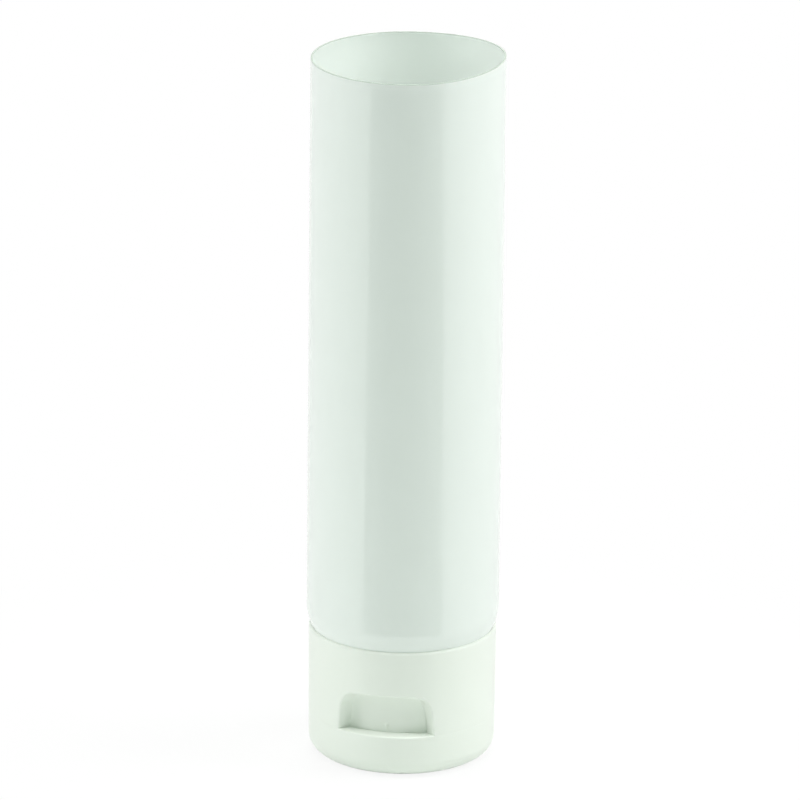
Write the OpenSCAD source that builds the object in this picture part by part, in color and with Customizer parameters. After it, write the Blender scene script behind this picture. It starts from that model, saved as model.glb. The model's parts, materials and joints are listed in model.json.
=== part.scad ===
// Squeeze tube as supplied for filling: it stands on its closed flip-top cap with the open end up.
// Origin at the middle of the standing face, +Z along the tube, thumb recess towards -Y, hinge towards +Y.

/* [Tube] */
// Outer diameter of the sleeve
tube_d = 50; // [46:0.5:60]
// Wall of the sleeve
tube_wall = 0.55; // [0.35:0.05:0.9]
// Sleeve above the cap's rim, up to the open end
tube_len = 152; // [90:1:200]
// Radius of the soft curve that draws the sleeve in to the cap
draw_in_r = 15; // [8:0.5:22]
// Radius of the edge under that curve
shoulder_edge_r = 0.8; // [0.4:0.1:1.2]
// Slope of the shoulder, degrees
shoulder_slope = 28; // [15:1:35]
// Wall of the shoulder
shoulder_wall = 1.6; // [1:0.1:2.2]
// Fillet inside, from the sleeve to the shoulder
shoulder_fillet_r = 3; // [1:0.5:6]

/* [Neck] */
// Outer diameter of the neck
neck_d = 26; // [20:0.5:30]
// Wall of the neck
neck_wall = 1.5; // [1:0.1:2]
// Radius of the snap bead round the neck
bead_r = 0.7; // [0.4:0.1:0.9]
// Height of the snap bead above the neck's end
bead_up = 5; // [3:0.5:7]

/* [Cap] */
// Step in radius from the sleeve to the cap's rim
cap_step = 0.65; // [0.5:0.05:1.2]
// Height of the closed cap
cap_h = 34.5; // [30:0.5:42]
// Height of the lid
lid_h = 11.4; // [9.5:0.1:13]
// Draft of the cap's outer wall, degrees
cap_draft = 0.4; // [0:0.05:1]
// Wall of the base and of the lid
cap_wall = 1.4; // [1.1:0.1:1.8]
// Thickness of the base's deck and of the lid's plate
deck_t = 1.4; // [1:0.1:2]
// Radius of the lid's standing edge
lid_edge_r = 4.4; // [2.5:0.1:5]
// Radius of the edge of the base's rim
rim_edge_r = 0.5; // [0.2:0.1:0.8]
// Height of the spigot that the lid closes over
spigot_h = 2.5; // [1.5:0.1:3.5]
// Wall of the spigot, the snap ring and the seal ring
ring_wall = 1.2; // [0.9:0.1:1.6]
// Height of the seal ring inside the neck
seal_h = 3; // [2:0.5:5]
// Ribs between the snap ring and the skirt
rib_count = 5; // [3:1:5]
// Angle from one rib to the next
rib_pitch = 54; // [40:1:56]
// Height of the ribs
rib_h = 8; // [4:0.5:12]
// Thickness of the ribs
rib_t = 1; // [0.8:0.1:1.4]

/* [Outlet] */
// Diameter of the orifice
orifice_d = 5; // [4:0.5:7]
// Diameter of the nozzle at its tip
nozzle_d = 8; // [7.5:0.5:11]
// Height of the nozzle below the deck
nozzle_h = 3; // [2:0.5:4]
// Reach of the lid's sealing pin into the orifice
pin_reach = 2.2; // [1:0.1:3]
// Length of the pin's tapered tip
pin_tip = 1; // [0.5:0.1:1.2]
// Thickness of the gussets at the pin's foot
gusset_t = 1; // [0.8:0.1:1.4]
// Reach of the gussets from the pin
gusset_w = 3; // [1.5:0.5:5]

/* [Thumb recess] */
// Width of the recess's mouth at the parting line
recess_w = 25.2; // [20:0.1:28]
// Height of the recess above the parting line
recess_h = 11; // [8:0.1:14]
// Depth of the recess, down to a back that is as round as the cap
recess_depth = 3.9; // [3.2:0.1:5]
// Flare of the recess's sides, degrees
recess_flare = 40; // [35:1:48]
// Draft of the recess's ceiling, degrees
recess_draft = 10; // [3:1:20]
// Radius of the recess's upper corners
recess_corner_r = 5.5; // [4:0.1:6.5]
// Narrowing of the recess on each side, from the parting line to its top
recess_taper = 0.6; // [0:0.1:1.5]
// Width of the lid's ledge that runs in under the middle of the recess's back
ledge_lap = 0.6; // [0.3:0.1:1]

/* [Hinge] */
// Width of the hinge film
hinge_w = 10; // [6:0.5:11]
// Margin of the flat behind the film, on each side of it
hinge_margin = 0.5; // [0.2:0.1:1]
// Height of the flat, above and below the parting line
hinge_flat_h = 3; // [2:0.1:4]
// Thickness of the film
film_t = 0.28; // [0.2:0.02:0.4]
// Inner radius of the film's loop when the lid is shut
film_loop_r = 0.15; // [0.1:0.01:0.25]
// Distance from the flat to the middle of the loop
film_leg = 0.2; // [0.1:0.05:0.4]

/* [Clearances] */
// Parting gap between base and lid
part_gap = 0.1; // [0.05:0.05:0.3]
// Gap between the cap's rim and the shoulder
rim_gap = 0.25; // [0.1:0.05:0.5]
// Radial gap between the spigot and the lid
lid_fit = 0.35; // [0.3:0.05:0.6]
// Step from the recess's walls back to the spigot under them
spigot_step = 0.2; // [0.1:0.05:0.4]
// Radial gap between the pin and the orifice
pin_fit = 0.3; // [0.25:0.05:0.4]
// Radial gap between the neck and the rings of the base
neck_fit = 0.15; // [0.1:0.05:0.3]
// Gap between the neck's end and the deck
seat_gap = 0.1; // [0:0.05:0.3]
// Distance that the snap ring stays below the shoulder
ring_gap = 3; // [2:0.5:6]

/* [Hidden] */
$fn = 96;

sleeve_color = [0.90, 0.95, 0.92];
cap_color = [0.88, 0.93, 0.87];

// Segments of an outline's arc, the overlap of joined or cut solids, and the ends of a hull
arc_steps = 10;
overlap = 0.3;
slice_t = 0.01;
hull_fn = 32;

tube_r = tube_d / 2;
sleeve_in_r = tube_r - tube_wall;
top_z = cap_h + tube_len;
rim_r = tube_r - cap_step;
function cap_r(z) = rim_r - (cap_h - z) * tan(cap_draft);
function skirt_in_r(z) = cap_r(z) - cap_wall;

// Points of an arc round (r, z) from angle a to angle b
function arc(r, z, radius, a, b) =
    [for (i = [0 : arc_steps]) let (t = a + (b - a) * i / arc_steps)
        [r + radius * cos(t), z + radius * sin(t)]];

// The shoulder: a land that faces the cap's rim, then a cone down to the neck
land_z = cap_h + rim_gap;
land_r = skirt_in_r(cap_h) - overlap;
draw_in_a = acos(1 - cap_step / draw_in_r);
edge_r = rim_r - shoulder_edge_r * cos(draw_in_a);
draw_in_z = land_z + shoulder_edge_r + (draw_in_r - shoulder_edge_r) * sin(draw_in_a);
neck_r = neck_d / 2;
neck_bore_r = neck_r - neck_wall;
function shoulder_under(r) = land_z - (land_r - r) * tan(shoulder_slope);
function shoulder_over(r) = shoulder_under(r) + shoulder_wall / cos(shoulder_slope);
fillet_rise = shoulder_fillet_r / tan((90 + shoulder_slope) / 2);

// The base: its deck starts at the parting plane, and its rings stand on the deck
deck_z = lid_h + deck_t;
neck_end_z = deck_z + seat_gap;
bead_z = neck_end_z + bead_up;
ring_in_r = neck_r + neck_fit;
ring_out_r = ring_in_r + ring_wall;
ring_top_z = shoulder_under(ring_out_r) - ring_gap;
seal_out_r = neck_bore_r - neck_fit;
orifice_r = orifice_d / 2;
nozzle_r = nozzle_d / 2;
nozzle_z = lid_h - nozzle_h;
nozzle_flare = ring_wall / 2;

// The lid: its rim stays a parting gap below the base
lid_rim_z = lid_h - part_gap;
lid_in_r = skirt_in_r(lid_h);
spigot_r = lid_in_r - lid_fit;
lid_in_edge_r = lid_edge_r - deck_t;
pin_r = orifice_r - pin_fit;
pin_top_z = nozzle_z + pin_reach;
gusset_top_z = nozzle_z - ring_wall;

// The recess and the lid's ledge under it: its back is round, and the ledge ends straight behind it
recess_back = cap_r(lid_h) - recess_depth;
recess_mouth = sqrt(pow(cap_r(lid_h), 2) - pow(recess_w / 2, 2));
recess_top_z = lid_h + recess_h;
ledge_back = recess_back - ledge_lap;

// Half width and height of the recess at a distance in front of the axis
function recess_half(out) = recess_w / 2 + (out - recess_mouth) * tan(recess_flare);
function recess_ceiling(out) = recess_top_z + (out - cap_r(lid_h)) * tan(recess_draft);

// Distances of the innermost and outermost slice of the recess, a margin larger than itself
function recess_span(margin) = [recess_back - recess_depth - margin, tube_r + overlap];

// The hinge: a flat across the back, and the axis in the middle of the film's loop
hinge_flat = sqrt(pow(cap_r(lid_h), 2) - pow(hinge_w / 2 + hinge_margin, 2));
hinge_y = hinge_flat + film_leg;
film_out_r = film_loop_r + film_t;

// Everything further forward than a distance from the axis, as a flat area
module front_of(distance) {
    translate([-tube_d, -tube_d - distance]) square([2 * tube_d, tube_d]);
}

// A round plate with the plan of the recess taken out of its front, a margin larger than the recess
module recessed(r, margin) {
    difference() {
        circle(r);
        difference() {
            polygon([for (side = [-1, 1], out = recess_span(margin))
                [side * (recess_half(out) + margin / cos(recess_flare)), -out]], [[0, 1, 3, 2]]);
            circle(recess_back - margin);
        }
    }
}

// A profile drawn in Y and Z, run along X
module along_x(length) {
    rotate([90, 0, 90]) linear_extrude(length, center = true) children();
}

// The flat that clears the hinge film, with sloping ends
module hinge_flat_cut() {
    depth = tube_r - hinge_flat;
    along_x(tube_d) polygon([
        [hinge_flat, lid_h - hinge_flat_h],
        [hinge_flat + depth, lid_h - hinge_flat_h - depth],
        [hinge_flat + depth, lid_h + hinge_flat_h + depth],
        [hinge_flat, lid_h + hinge_flat_h]
    ]);
}

// The space of the recess; a wall above 0 gives the block that lines it
module recess(wall) {
    foot_z = lid_h - spigot_h;
    spread = wall / cos(recess_flare);
    foot_spread = spread + recess_taper * (lid_h - foot_z) / recess_h;
    difference() {
        hull() for (out = recess_span(wall), side = [-1, 1]) {
            half_top = recess_half(out) + spread - recess_taper;
            corner_r = min(recess_corner_r + wall, half_top);
            top_z = recess_ceiling(out) + wall / cos(recess_draft);
            translate([side * (half_top - corner_r), -out, top_z - corner_r])
                rotate([90, 0, 0]) cylinder(r = corner_r, h = slice_t, $fn = hull_fn);
            translate([side * (recess_half(out) + foot_spread) - slice_t / 2, -out - slice_t, foot_z])
                cube(slice_t);
        }
        translate([0, 0, foot_z - overlap]) cylinder(r = recess_back - wall, h = cap_h);
    }
}

module tube() {
    color(sleeve_color) rotate_extrude() polygon(concat(
        [[sleeve_in_r, top_z], [tube_r, top_z]],
        arc(tube_r - draw_in_r, draw_in_z, draw_in_r, 0, -draw_in_a),
        arc(edge_r, land_z + shoulder_edge_r, shoulder_edge_r, -draw_in_a, -90),
        [[land_r, land_z], [neck_r, shoulder_under(neck_r)]],
        arc(neck_r, bead_z, bead_r, 90, -90),
        [[neck_r, neck_end_z], [neck_bore_r, neck_end_z], [neck_bore_r, shoulder_over(neck_bore_r)]],
        arc(sleeve_in_r - shoulder_fillet_r, shoulder_over(sleeve_in_r) + fillet_rise, shoulder_fillet_r,
            shoulder_slope - 90, 0)
    ));
}

// Skirt, deck, rings and nozzle of the base, in one turn
module base_turn() {
    rotate_extrude() polygon(concat(
        [[orifice_r, nozzle_z], [nozzle_r, nozzle_z], [nozzle_r + nozzle_flare, lid_h]],
        [[cap_r(lid_h), lid_h]],
        arc(rim_r - rim_edge_r, cap_h - rim_edge_r, rim_edge_r, 0, 90),
        [[skirt_in_r(cap_h), cap_h], [skirt_in_r(deck_z), deck_z]],
        [[ring_out_r, deck_z], [ring_out_r, ring_top_z], [ring_in_r, ring_top_z]],
        arc(ring_in_r, bead_z, bead_r, 90, -90),
        [[ring_in_r, deck_z], [seal_out_r, deck_z], [seal_out_r, deck_z + seal_h]],
        [[seal_out_r - ring_wall, deck_z + seal_h], [seal_out_r - ring_wall, deck_z], [orifice_r, deck_z]]
    ));
}

// Plan of the spigot: it runs on under the recess's walls, and straight where it clears the lid's ledge
module spigot_plan(inset) {
    difference() {
        recessed(spigot_r - inset, spigot_step + inset);
        front_of(ledge_back - lid_fit - inset);
    }
}

// The wall that the lid closes over
module spigot() {
    translate([0, 0, lid_h - spigot_h]) linear_extrude(spigot_h + overlap) difference() {
        spigot_plan(0);
        spigot_plan(ring_wall);
    }
}

module ribs() {
    length = skirt_in_r(deck_z) - ring_out_r + overlap;
    for (i = [0 : rib_count - 1]) rotate(90 + (i - (rib_count - 1) / 2) * rib_pitch)
        translate([ring_out_r - overlap / 2, -rib_t / 2, deck_z - overlap])
            cube([length, rib_t, rib_h + overlap]);
}

module recess_shell() {
    intersection() {
        recess(cap_wall);
        translate([0, 0, lid_h]) cylinder(r = cap_r(lid_h) - cap_wall / 2, h = cap_h - lid_h);
    }
}

module cap_base() {
    color(cap_color) difference() {
        union() {
            base_turn();
            spigot();
            ribs();
            recess_shell();
        }
        difference() {
            recess(0);
            translate([0, 0, lid_h - tube_d]) linear_extrude(tube_d) square(2 * tube_d, center = true);
        }
        hinge_flat_cut();
    }
}

// The lid's cup: plate, rounded standing edge and wall
module lid_turn() {
    edge_z_r = cap_r(lid_edge_r) - lid_edge_r;
    rotate_extrude() polygon(concat(
        [[0, 0]],
        arc(edge_z_r, lid_edge_r, lid_edge_r, -90, 0),
        [[cap_r(lid_rim_z), lid_rim_z], [lid_in_r, lid_rim_z]],
        arc(lid_in_r - lid_in_edge_r, lid_edge_r, lid_in_edge_r, 0, -90),
        [[0, deck_t]]
    ));
}

// The ledge under the recess, which the thumb lifts
module ledge() {
    translate([0, 0, lid_rim_z - deck_t]) linear_extrude(deck_t) intersection() {
        circle(lid_in_r + overlap);
        front_of(ledge_back);
    }
}

module sealing_pin() {
    rotate_extrude() polygon([
        [0, deck_t - overlap], [pin_r, deck_t - overlap], [pin_r, pin_top_z - pin_tip],
        [pin_r / 2, pin_top_z], [0, pin_top_z]
    ]);
    for (a = [0 : 90 : 270]) rotate(a + 45) rotate([90, 0, 0]) linear_extrude(gusset_t, center = true)
        polygon([
            [0, deck_t - overlap], [pin_r + gusset_w, deck_t - overlap], [pin_r + gusset_w, deck_t],
            [pin_r - overlap, gusset_top_z], [0, gusset_top_z]
        ]);
}

module cap_lid() {
    color(cap_color) difference() {
        union() {
            lid_turn();
            ledge();
            sealing_pin();
        }
        hinge_flat_cut();
    }
}

// The film stands out of both flats and loops round the hinge axis
module living_hinge() {
    color(cap_color) along_x(hinge_w) translate([hinge_y, lid_h]) {
        difference() {
            circle(film_out_r);
            circle(film_loop_r);
            translate([-film_out_r, -film_out_r]) square([film_out_r, 2 * film_out_r]);
        }
        for (z = [film_loop_r, -film_out_r]) translate([-film_leg, z]) square([film_leg, film_t]);
    }
}

tube();
cap_base();
cap_lid();
living_hinge();
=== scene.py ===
"""Looks of a squeeze tube that stands on its closed flip-top cap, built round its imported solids.

Sizes are in millimetres, in the part's own frame: +Z along the tube, thumb recess towards -Y and
hinge towards +Y. The mesh builder turns millimetres into metres. An angle round the axis is measured
from the front, -Y, towards +X.
"""

import json
import logging
import math
from collections.abc import Callable
from dataclasses import dataclass, replace
from enum import Enum

import bmesh
import bpy
import numpy as np
from mathutils import Matrix, Vector


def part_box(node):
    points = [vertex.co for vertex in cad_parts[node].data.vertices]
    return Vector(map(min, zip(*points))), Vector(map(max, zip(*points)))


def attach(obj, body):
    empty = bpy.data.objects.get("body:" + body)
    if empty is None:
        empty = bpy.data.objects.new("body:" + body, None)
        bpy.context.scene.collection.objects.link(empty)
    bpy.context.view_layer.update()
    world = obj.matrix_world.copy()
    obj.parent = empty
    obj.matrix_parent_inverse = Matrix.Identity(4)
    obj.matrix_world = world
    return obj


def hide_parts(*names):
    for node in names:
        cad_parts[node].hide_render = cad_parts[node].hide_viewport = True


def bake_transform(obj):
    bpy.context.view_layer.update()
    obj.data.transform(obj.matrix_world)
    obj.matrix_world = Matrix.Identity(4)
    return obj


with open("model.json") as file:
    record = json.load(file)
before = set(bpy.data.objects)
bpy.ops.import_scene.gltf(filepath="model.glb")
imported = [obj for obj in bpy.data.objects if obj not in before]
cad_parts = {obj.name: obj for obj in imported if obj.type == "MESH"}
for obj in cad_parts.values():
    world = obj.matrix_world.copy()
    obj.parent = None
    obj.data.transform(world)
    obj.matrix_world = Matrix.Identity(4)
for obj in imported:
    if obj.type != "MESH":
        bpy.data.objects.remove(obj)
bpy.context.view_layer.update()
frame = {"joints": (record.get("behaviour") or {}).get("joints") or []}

MM = 0.001
# Distance within which points are welded, and angle past which an edge is shaded sharp
WELD = 0.002
SHARP_EDGE = math.radians(38)
# Hairline between the two halves of the cap
SEAM = 0.012

Array = np.ndarray
Triple = tuple[float, float, float]
Colour = Triple
WHITE: Colour = (1.0, 1.0, 1.0)
log = logging.getLogger("squeeze_tube")


class Body(Enum):
    """Bodies of the part that pieces ride on."""

    TUBE = "tube_body"
    LID = "lid"


class Slot(Enum):
    """Material slots of the part's record."""

    SLEEVE = "sleeve"
    CAP = "cap"


def smooth_step(low: float, high: float, value: Array) -> Array:
    """Rises from 0 at low to 1 at high as 3 t^2 - 2 t^3.

    Args:
        low: Value at which the step starts.
        high: Value at which it ends.
        value: Values to look up.

    Returns:
        The step's height at each value.
    """
    share = np.clip((value - low) / (high - low), 0.0, 1.0)
    return share * share * (3.0 - 2.0 * share)


def hump(angle: Array, centre: float, half_width: float) -> Array:
    """A raised cosine in an angle: 1 at the centre, 0 at half a width from it and beyond.

    Args:
        angle: Angles in radians.
        centre: Middle of the hump.
        half_width: Distance from the middle at which it has died out.

    Returns:
        The hump's height at each angle.
    """
    away = np.abs((angle - centre + math.pi) % (2 * math.pi) - math.pi)
    return 0.5 + 0.5 * np.cos(np.pi * np.minimum(away / half_width, 1.0))


def arc(r: float, z: float, radius: float, start: float, end: float, steps: int) -> Array:
    """Points of an arc in a profile: the centre plus radius times (cos a, sin a).

    Args:
        r: Centre's distance from the axis.
        z: Centre's height.
        radius: Radius of the arc.
        start: First angle a, in degrees.
        end: Last angle a, in degrees.
        steps: Number of segments.

    Returns:
        Points (r, z), one row each.
    """
    angle = np.radians(np.linspace(start, end, steps + 1))
    return np.column_stack((r + radius * np.cos(angle), z + radius * np.sin(angle)))


def line(start: tuple[float, float], end: tuple[float, float], steps: int = 1) -> Array:
    """Evenly spaced points from start to end, with both of them."""
    return np.linspace(start, end, steps + 1)


def around(radius: Array, angle: Array, z: Array) -> Array:
    """Points at a distance, an angle and a height: (r sin a, -r cos a, z).

    Args:
        radius: Distances from the axis.
        angle: Angles from the front, in radians.
        z: Heights.

    Returns:
        Points, with the coordinate as the last axis.
    """
    return np.stack(np.broadcast_arrays(radius * np.sin(angle), -radius * np.cos(angle), z), axis=-1)


def straight_fronted(radius: float, front: float, angle: Array) -> Array:
    """Radius of a circle whose front is cut straight: the lesser of r and front / cos a.

    The cosine is held above front / 2r, beyond which the circle is the lesser anyway.

    Args:
        radius: Radius of the circle.
        front: Distance of the straight front from the axis.
        angle: Angles from the front, in radians.

    Returns:
        Distance of the outline from the axis at each angle.
    """
    cosine = np.maximum(np.cos(angle), front / (2.0 * radius))
    return np.minimum(radius, front / cosine)


def bent_edge(start: Array, corner: Array, end: Array, steps: int) -> Array:
    """Rows that round an edge: a quadratic curve (1-u)^2 P + 2u(1-u) Q + u^2 R for each point.

    Args:
        start: Points P where the rounding starts.
        corner: Points Q of the sharp edge.
        end: Points R where it ends.
        steps: Number of segments across the edge.

    Returns:
        steps + 1 rows of points.
    """
    u = np.linspace(0.0, 1.0, steps + 1)[:, None, None]
    return (1 - u) ** 2 * start + 2 * u * (1 - u) * corner + u**2 * end


def border_patch(left: Array, right: Array, bottom: Array, top: Array) -> Array:
    """A patch between four borders: both ruled surfaces added, less the one through the corners.

    Args:
        left: Border on the left, from bottom to top.
        right: Border on the right, from bottom to top.
        bottom: Border below, from left to right.
        top: Border above, from left to right.

    Returns:
        Grid of points, rows from bottom to top.
    """
    u = np.linspace(0.0, 1.0, len(bottom))[None, :, None]
    v = np.linspace(0.0, 1.0, len(left))[:, None, None]
    across = (1 - u) * left[:, None] + u * right[:, None]
    upward = (1 - v) * bottom[None] + v * top[None]
    lower = (1 - u) * bottom[0] + u * bottom[-1]
    upper = (1 - u) * top[0] + u * top[-1]
    return across + upward - (1 - v) * lower - v * upper


def grid_quads(rows: int, columns: int, ring: bool = False) -> Array:
    """Quads between each four neighbouring points of a grid, whose points are counted row by row.

    Args:
        rows: Number of rows.
        columns: Number of columns.
        ring: Whether the last column joins the first.

    Returns:
        Four point numbers for each quad.
    """
    index = np.arange(rows * columns).reshape(rows, columns)
    if ring:
        index = np.hstack((index, index[:, :1]))
    corners = (index[:-1, :-1], index[:-1, 1:], index[1:, 1:], index[1:, :-1])
    return np.stack(corners, axis=-1).reshape(-1, 4)


class Patchwork:
    """Grid patches in millimetres whose borders meet, welded into one mesh in metres."""

    def __init__(self) -> None:
        """Starts with no patches."""
        self.points: list[Array] = []
        self.quads: list[Array] = []
        self.count = 0

    def add(self, grid: Array, ring: bool = False) -> None:
        """Adds a patch, with one quad between each four neighbouring points.

        Args:
            grid: Points, rows by columns by 3.
            ring: Whether the last column joins the first.
        """
        rows, columns = grid.shape[:2]
        self.quads.append(grid_quads(rows, columns, ring) + self.count)
        self.points.append(grid.reshape(-1, 3))
        self.count += rows * columns

    def add_block(self, low: Array, high: Array) -> None:
        """Adds a closed block between two four-cornered faces.

        Args:
            low: Corners of one face, in turn.
            high: Corners of the other face, in the same order.
        """
        self.add(np.stack((low, high)), ring=True)
        for face in (low, high):
            self.add(np.stack((face[:2], face[[3, 2]])))

    def piece(self, name: str) -> bpy.types.Object:
        """Welds the patches, turns the faces outwards and shades them smooth up to sharp edges.

        Args:
            name: Name of the new object.

        Returns:
            The object, at the origin.
        """
        points = np.concatenate(self.points) * MM
        quads = np.concatenate(self.quads)
        mesh = bpy.data.meshes.new(name)
        mesh.vertices.add(len(points))
        mesh.vertices.foreach_set("co", points.astype(np.float32).ravel())
        mesh.loops.add(quads.size)
        mesh.loops.foreach_set("vertex_index", quads.astype(np.int32).ravel())
        mesh.polygons.add(len(quads))
        mesh.polygons.foreach_set("loop_start", np.arange(0, quads.size, 4, dtype=np.int32))
        mesh.update(calc_edges=True)
        work = bmesh.new()
        work.from_mesh(mesh)
        bmesh.ops.remove_doubles(work, verts=work.verts, dist=WELD * MM)
        bmesh.ops.dissolve_degenerate(work, edges=work.edges, dist=WELD * MM)
        bmesh.ops.recalc_face_normals(work, faces=work.faces)
        work.to_mesh(mesh)
        work.free()
        mesh.polygons.foreach_set("use_smooth", np.ones(len(mesh.polygons), dtype=bool))
        mesh.set_sharp_from_angle(angle=SHARP_EDGE)
        mesh.validate()
        made = bpy.data.objects.new(name, mesh)
        bpy.context.scene.collection.objects.link(made)
        return made


class NodeBench:
    """Lays out shader nodes in one node tree."""

    def __init__(self, tree: bpy.types.NodeTree) -> None:
        """Keeps the tree that nodes are placed in."""
        self.tree = tree

    def place(self, kind: str, **values: object) -> bpy.types.Node:
        """Adds a node and sets its properties and sockets.

        Args:
            kind: Node type.
            **values: Properties by name, or inputs by name with spaces as underscores. A socket as a
                value is linked.

        Returns:
            The new node.
        """
        node = self.tree.nodes.new(kind)
        for name, value in values.items():
            socket = node.inputs.get(name.replace("_", " ")) if not hasattr(node, name) else None
            if socket is None:
                setattr(node, name, value)
            else:
                self.feed(socket, value)
        return node

    def feed(self, socket: bpy.types.NodeSocket, value: object) -> None:
        """Links a socket to another one, or sets its value.

        Args:
            socket: Input of a node.
            value: Socket that it is linked to, or its value.
        """
        if isinstance(value, bpy.types.NodeSocket):
            self.tree.links.new(value, socket)
        else:
            socket.default_value = value

    def calculate(self, operation: str, *values: object) -> bpy.types.NodeSocket:
        """Adds a Math node.

        Args:
            operation: What it works out.
            *values: Its inputs, in order.

        Returns:
            Its result.
        """
        node = self.place("ShaderNodeMath", operation=operation)
        for socket, value in zip(node.inputs, values):
            self.feed(socket, value)
        return node.outputs[0]

    def mix(self, factor: object, first: object, second: object) -> bpy.types.NodeSocket:
        """Adds a colour mix.

        Args:
            factor: Share of the second colour.
            first: Colour at 0.
            second: Colour at 1.

        Returns:
            The mixed colour.
        """
        node = self.place("ShaderNodeMix", data_type="RGBA")
        self.feed(node.inputs["Factor"], factor)
        self.feed(node.inputs["A"], first)
        self.feed(node.inputs["B"], second)
        return node.outputs["Result"]

    def mix_shaders(self, *values: bpy.types.NodeSocket) -> bpy.types.NodeSocket:
        """Adds a shader mix.

        Args:
            *values: Share of the second shader, the shader at 0 and the shader at 1.

        Returns:
            The mixed shader.
        """
        node = self.place("ShaderNodeMixShader")
        for socket, value in zip(node.inputs, values):
            self.feed(socket, value)
        return node.outputs[0]

    def ramp(self, value: bpy.types.NodeSocket, *levels: float) -> bpy.types.NodeSocket:
        """Adds a smooth step of a value.

        Args:
            value: What the step depends on.
            *levels: Values at which it starts and ends, then its heights there, 0 and 1 if not given.

        Returns:
            The step's height.
        """
        node = self.place("ShaderNodeMapRange", interpolation_type="SMOOTHSTEP", Value=value)
        for name, level in zip(("From Min", "From Max", "To Min", "To Max"), levels):
            node.inputs[name].default_value = level
        return node.outputs[0]


def blank_bench(owner: bpy.types.Material | bpy.types.World) -> NodeBench:
    """Gives a material or a world an empty node tree.

    Args:
        owner: The material or world.

    Returns:
        A bench on the tree.
    """
    owner.use_nodes = True
    owner.node_tree.nodes.clear()
    return NodeBench(owner.node_tree)


def opaque(colour: Colour) -> tuple[float, float, float, float]:
    """A colour with full alpha, as sockets take it."""
    return (*colour, 1.0)


def surface_breakup() -> bpy.types.NodeTree:
    """The shared group that breaks a surface up: noise on stretched coordinates, centred on 0.

    Returns:
        The group, with inputs Vector, Stretch, Scale and Detail and output Value.
    """
    name = "surface_breakup"
    if name in bpy.data.node_groups:
        return bpy.data.node_groups[name]
    tree = bpy.data.node_groups.new(name, "ShaderNodeTree")
    kinds = {"Vector": "Vector", "Stretch": "Vector", "Scale": "Float", "Detail": "Float"}
    for socket, kind in kinds.items():
        tree.interface.new_socket(socket, in_out="INPUT", socket_type=f"NodeSocket{kind}")
    tree.interface.new_socket("Value", in_out="OUTPUT", socket_type="NodeSocketFloat")
    bench = NodeBench(tree)
    given = bench.place("NodeGroupInput").outputs
    stretched = bench.place("ShaderNodeVectorMath", operation="MULTIPLY")
    bench.feed(stretched.inputs[0], given["Vector"])
    bench.feed(stretched.inputs[1], given["Stretch"])
    noise = bench.place("ShaderNodeTexNoise", Vector=stretched.outputs[0])
    bench.feed(noise.inputs["Scale"], given["Scale"])
    bench.feed(noise.inputs["Detail"], given["Detail"])
    centred = bench.calculate("SUBTRACT", noise.outputs[0], 0.5)
    bench.feed(bench.place("NodeGroupOutput").inputs["Value"], centred)
    return tree


@dataclass(frozen=True)
class Breakup:
    """One use of the shared breakup group.

    Attributes:
        scale: Features per metre.
        stretch: Factors on X, Y and Z; a small one draws the features out along that axis.
        detail: Octaves of finer noise.
    """

    scale: float
    stretch: Triple = (1.0, 1.0, 1.0)
    detail: float = 2.0

    def place(self, bench: NodeBench, vector: bpy.types.NodeSocket) -> bpy.types.NodeSocket:
        """Places the group in a material.

        Args:
            bench: Where it is placed.
            vector: Coordinates that it reads.

        Returns:
            Its value, from about -0.5 to 0.5.
        """
        node = bench.place("ShaderNodeGroup", node_tree=surface_breakup())
        node.inputs["Stretch"].default_value = self.stretch
        node.inputs["Scale"].default_value = self.scale
        node.inputs["Detail"].default_value = self.detail
        bench.feed(node.inputs["Vector"], vector)
        return node.outputs["Value"]


@dataclass(frozen=True)
class PlasticFinish:
    """A moulded or extruded white plastic.

    Attributes:
        name: Name of the material.
        colour: Base colour, linear.
        deep: Colour where the plastic is a little denser.
        ior: Index of refraction.
        roughness: Mean roughness.
        roughness_spread: How far the roughness wanders.
        cloud: Slow wandering of colour and roughness.
        grain: Fine texture of the surface.
        grain_height: Height of that texture, in metres.
        scuff: Roughness added on the standing edge.
        scuff_top: Height at which the scuffing has died out, in metres.
    """

    name: str
    colour: Colour
    deep: Colour
    ior: float
    roughness: float
    roughness_spread: float
    cloud: Breakup
    grain: Breakup
    grain_height: float
    scuff: float
    scuff_top: float

    def material(self) -> bpy.types.Material:
        """Builds the material the first time that it is asked for.

        The cloud shifts colour and roughness, the grain is a bump, and the standing edge is scuffed rougher.

        Returns:
            The material.
        """
        if self.name in bpy.data.materials:
            return bpy.data.materials[self.name]
        made = bpy.data.materials.new(self.name)
        bench = blank_bench(made)
        place = bench.place("ShaderNodeTexCoord").outputs["Object"]
        cloud = self.cloud.place(bench, place)
        grain = self.grain.place(bench, place)
        height = bench.place("ShaderNodeSeparateXYZ", Vector=place).outputs["Z"]
        low = bench.ramp(height, self.scuff_top, 0.0)
        worn = bench.calculate("MULTIPLY", low, bench.calculate("ADD", grain, 0.5))
        wander = bench.calculate("MULTIPLY_ADD", cloud, self.roughness_spread, self.roughness)
        roughness = bench.calculate("MULTIPLY_ADD", worn, self.scuff, wander)
        density = bench.calculate("ADD", cloud, 0.5)
        bump = bench.place("ShaderNodeBump", Strength=1.0, Distance=self.grain_height, Height=grain)
        shader = bench.place("ShaderNodeBsdfPrincipled", Roughness=roughness, Normal=bump.outputs[0])
        bench.feed(shader.inputs["Base Color"], bench.mix(density, opaque(self.colour), opaque(self.deep)))
        shader.inputs["IOR"].default_value = self.ior
        bench.place("ShaderNodeOutputMaterial", Surface=shader.outputs[0])
        return made


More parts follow.
